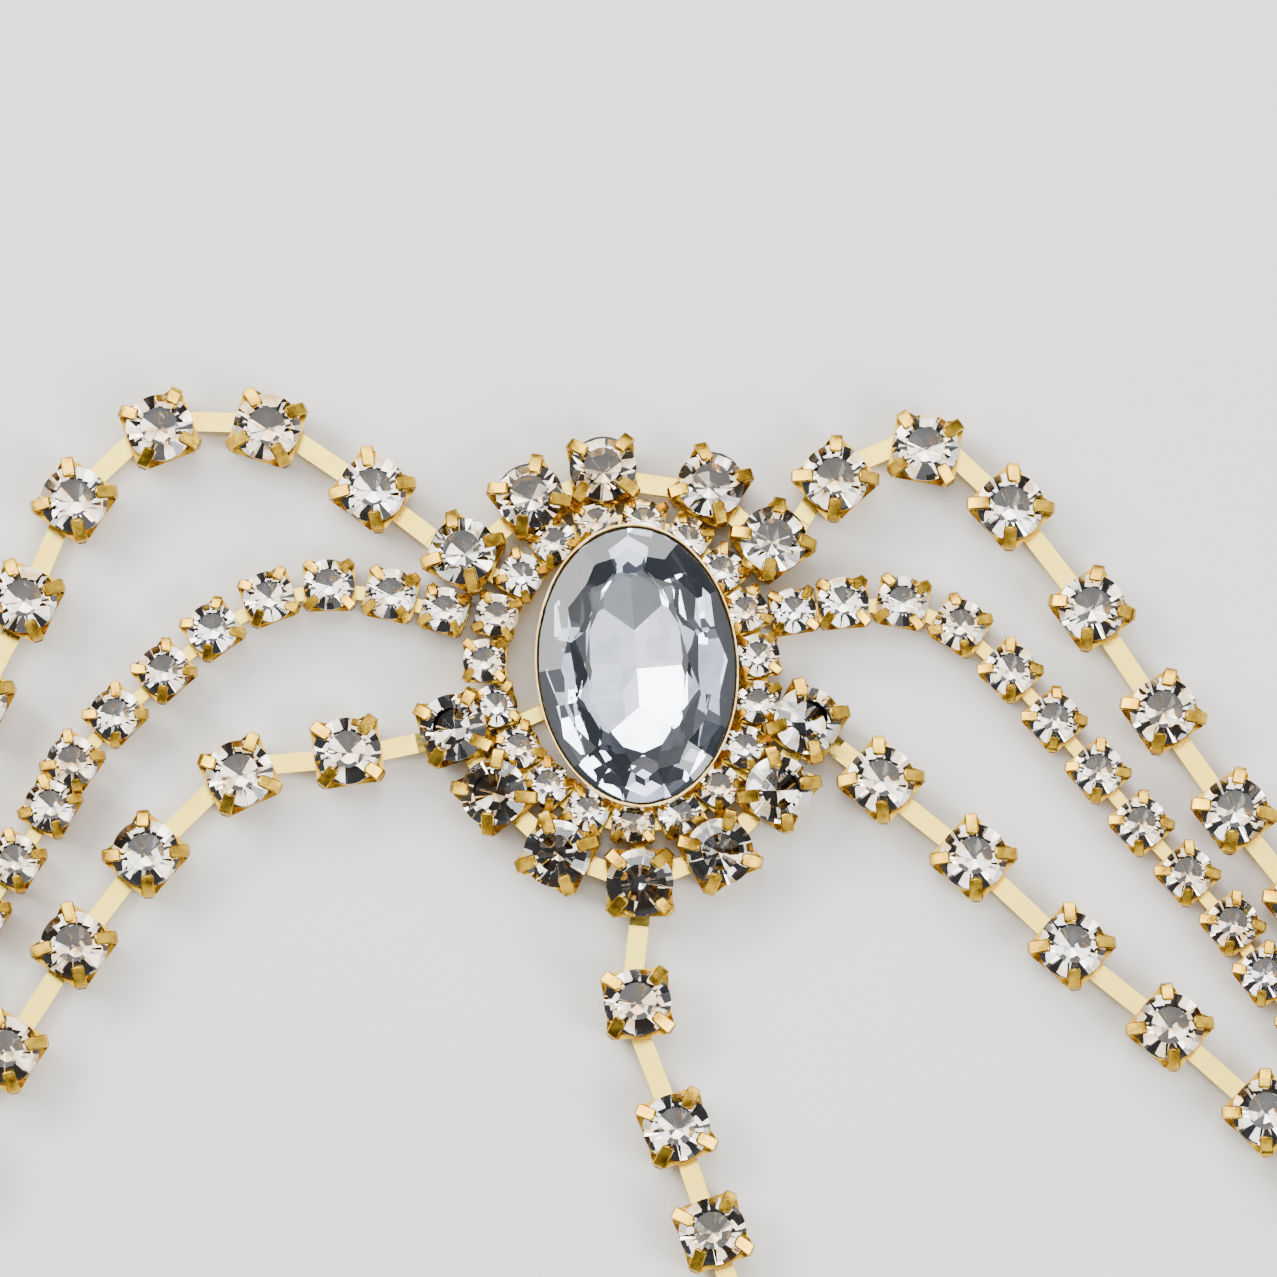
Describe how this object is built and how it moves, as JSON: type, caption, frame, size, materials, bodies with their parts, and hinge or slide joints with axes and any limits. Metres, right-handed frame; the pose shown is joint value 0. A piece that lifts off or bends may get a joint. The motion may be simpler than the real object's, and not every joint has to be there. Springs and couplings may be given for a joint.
{
  "type": "hair chain",
  "caption": "Rhinestone hair chain: an oval glass stone in a medallion of round stones, with strands of cup chain that sweep to a hair hook on each side and one that drops behind",
  "frame": {"origin": "the middle of the medallion, on the surface that the piece lies on: the round foot plate under the centre stone and the undersides of the cups are at Z = 0", "axes": "+X to the right across both side strands, the longest way; +Y up the medallion, away from the drop strand; +Z out of the surface, the way the stones face, the thinnest way"},
  "size_m": [0.1891, 0.1187, 0.0075],
  "materials": {
    "gold": "polished yellow gold-plated brass",
    "crystal": "clear faceted glass, foiled behind"
  },
  "bodies": {
    "root": {"centre_stone": "crystal", "medallion_frame": "gold", "outer_stone_01": "crystal", "outer_stone_02": "crystal", "outer_stone_03": "crystal", "outer_stone_04": "crystal", "outer_stone_05": "crystal", "outer_stone_06": "crystal", "outer_stone_07": "crystal", "outer_stone_08": "crystal", "outer_stone_09": "crystal", "outer_stone_10": "crystal", "outer_stone_11": "crystal", "outer_stone_12": "crystal", "inner_stone_01": "crystal", "inner_stone_02": "crystal", "inner_stone_03": "crystal", "inner_stone_04": "crystal", "inner_stone_05": "crystal", "inner_stone_06": "crystal", "inner_stone_07": "crystal", "inner_stone_08": "crystal", "inner_stone_09": "crystal", "inner_stone_10": "crystal", "inner_stone_11": "crystal", "inner_stone_12": "crystal", "inner_stone_13": "crystal", "inner_stone_14": "crystal", "inner_stone_15": "crystal", "inner_stone_16": "crystal", "inner_stone_17": "crystal", "inner_stone_18": "crystal", "inner_stone_19": "crystal", "strand_upper_left": "gold", "strand_middle_left": "gold", "strand_lower_left": "gold", "strand_upper_right": "gold", "strand_middle_right": "gold", "strand_lower_right": "gold", "strand_drop": "gold", "hook_left": "gold", "hook_right": "gold", "hook_drop": "gold"}
  },
  "joints": []
}
